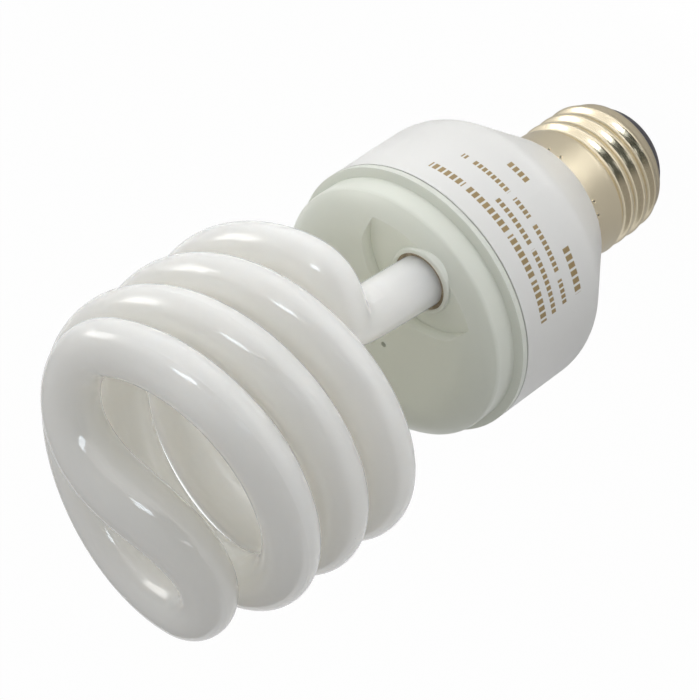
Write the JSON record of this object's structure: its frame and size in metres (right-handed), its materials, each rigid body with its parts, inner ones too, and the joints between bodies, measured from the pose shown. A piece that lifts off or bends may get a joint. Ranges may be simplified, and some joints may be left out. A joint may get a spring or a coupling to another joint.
{
  "type": "spiral energy saving bulb",
  "caption": "Compact fluorescent bulb with a white double spiral tube, a round holder, a tapered white housing and a medium screw base.",
  "frame": {"origin": "foot of the centre contact, on the bulb's axis", "axes": "+Z along the bulb's axis from the contact to the tip of the spiral, X through the two legs of the tube"},
  "size_m": [0.0604, 0.0604, 0.1395],
  "materials": {
    "contact_metal": "plated and slightly dull",
    "insulator_glass": "black glass, glossy",
    "shell_metal": "nickel plated, bright satin",
    "housing_plastic": "white, semi gloss",
    "holder_plastic": "off-white, satin",
    "coated_glass": "clear glass over a white coat, glossy and milky",
    "cement": "brown, matt",
    "board": "tan laminate, matt",
    "capacitor_sleeve": "dark sleeve, glossy",
    "ferrite": "dark grey, matt",
    "bobbin_plastic": "black, matt",
    "copper": "enamelled copper wire",
    "black_epoxy": "black, matt",
    "film_dip": "brown red dip, glossy",
    "resistor_body": "beige lacquer",
    "diode_glass": "red brown glass",
    "tinned_wire": "tinned copper wire"
  },
  "bodies": {
    "root": {"centre_contact": "contact_metal", "base_insulator": "insulator_glass", "screw_shell": "shell_metal", "ballast_housing": "housing_plastic", "tube_holder": "holder_plastic", "discharge_tube": "coated_glass", "tube_cement": "cement", "circuit_board": "board", "bus_capacitor": "capacitor_sleeve", "choke_core": "ferrite", "choke_bobbin": "bobbin_plastic", "choke_winding": "copper", "ring_core": "ferrite", "ring_windings": "copper", "power_transistors": "black_epoxy", "resonant_capacitor": "film_dip", "film_capacitors": "film_dip", "filter_core": "ferrite", "filter_winding": "copper", "rectifier_diodes": "black_epoxy", "resistors": "resistor_body", "diac": "diode_glass", "fuse_resistor": "resistor_body", "live_lead": "tinned_wire", "shell_lead": "tinned_wire", "wrap_pins": "tinned_wire", "filament_leads": "tinned_wire"}
  },
  "joints": []
}
